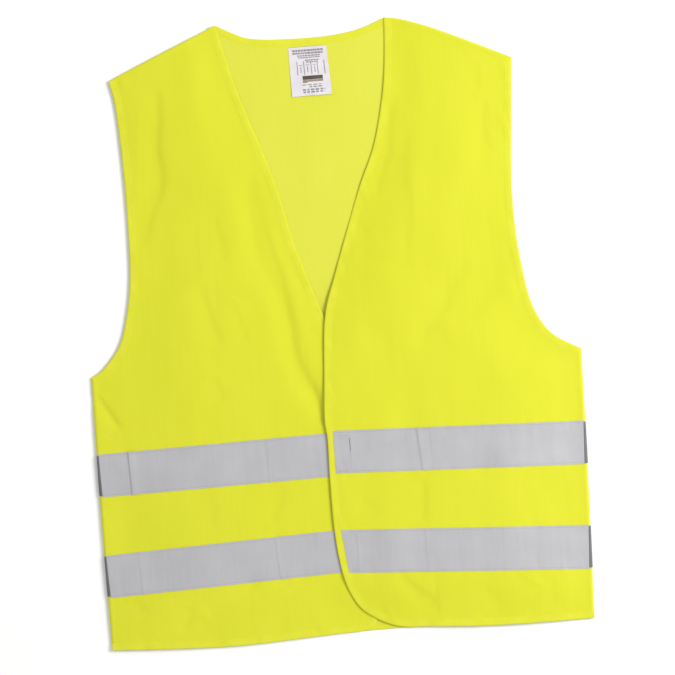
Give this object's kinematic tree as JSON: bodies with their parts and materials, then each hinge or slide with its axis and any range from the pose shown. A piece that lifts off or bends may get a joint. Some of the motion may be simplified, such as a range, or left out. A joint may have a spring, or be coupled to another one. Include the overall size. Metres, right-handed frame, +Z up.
{
  "type": "high visibility vest",
  "caption": "Sleeveless V-neck safety vest in fluorescent yellow knit with reflective bands and an overlapping hook-and-loop front, lying flat.",
  "frame": {"origin": "middle of the underside of the vest lying flat on its back (centre of the plan, on the table)", "axes": "+X to the wearer's left, +Y from the hem to the neck, +Z up off the table, towards the fronts"},
  "size_m": [0.5624, 0.7052, 0.012],
  "materials": {
    "yellow_fabric": "matt knitted polyester, fluorescent yellow",
    "yellow_binding": "matt folded edge tape, fluorescent yellow",
    "reflective_tape": "fine silver grey retroreflective fabric",
    "hook_loop": "woven nylon hook and loop tape",
    "label": "white satin",
    "thread": "sewing thread"
  },
  "bodies": {
    "vest_body": {"back_panel": "yellow_fabric", "left_front_panel": "yellow_fabric", "right_front_panel": "yellow_fabric", "left_side_seam": "yellow_fabric", "right_side_seam": "yellow_fabric", "left_shoulder_seam": "yellow_fabric", "right_shoulder_seam": "yellow_fabric", "back_neck_binding": "yellow_binding", "left_neck_binding": "yellow_binding", "right_neck_binding": "yellow_binding", "back_hem_binding": "yellow_binding", "left_armhole_back_binding": "yellow_binding", "right_armhole_back_binding": "yellow_binding", "left_armhole_front_binding": "yellow_binding", "right_armhole_front_binding": "yellow_binding", "left_front_hem_binding": "yellow_binding", "right_front_hem_binding": "yellow_binding", "back_upper_tape": "reflective_tape", "back_lower_tape": "reflective_tape", "left_front_upper_tape": "reflective_tape", "left_front_lower_tape": "reflective_tape", "right_front_upper_tape": "reflective_tape", "right_front_lower_tape": "reflective_tape", "back_tape_stitching": "thread", "left_front_tape_stitching": "thread", "right_front_tape_stitching": "thread", "label_stitching": "thread"},
    "left_flap": {"left_flap_panel": "yellow_fabric", "left_front_edge_binding": "yellow_binding", "left_flap_upper_tape": "reflective_tape", "left_flap_lower_tape": "reflective_tape", "upper_hook_patch": "hook_loop", "lower_hook_patch": "hook_loop", "left_flap_stitching": "thread"},
    "right_flap": {"right_flap_panel": "yellow_fabric", "right_front_edge_binding": "yellow_binding", "right_flap_upper_tape": "reflective_tape", "right_flap_lower_tape": "reflective_tape", "upper_loop_patch": "hook_loop", "lower_loop_patch": "hook_loop", "right_flap_stitching": "thread"},
    "label": {"care_label": "label"}
  },
  "joints": [
    {"name": "left_flap_open", "type": "hinge", "parent": "vest_body", "child": "left_flap", "pos_m": [0.088, 0, 0.015], "axis": [0, 1, 0], "range_deg": [0, 170]},
    {"name": "right_flap_open", "type": "hinge", "parent": "vest_body", "child": "right_flap", "pos_m": [-0.088, 0, 0.0116], "axis": [0, -1, 0], "range_deg": [0, 85]},
    {"name": "label_flip", "type": "hinge", "parent": "vest_body", "child": "label", "pos_m": [0, 0.3241, 0.00175], "axis": [-1, 0, 0], "range_deg": [0, 150]}
  ],
  "couplings": [
    {"joint": "right_flap_open", "follows": "left_flap_open", "ratio": 0.5}
  ]
}
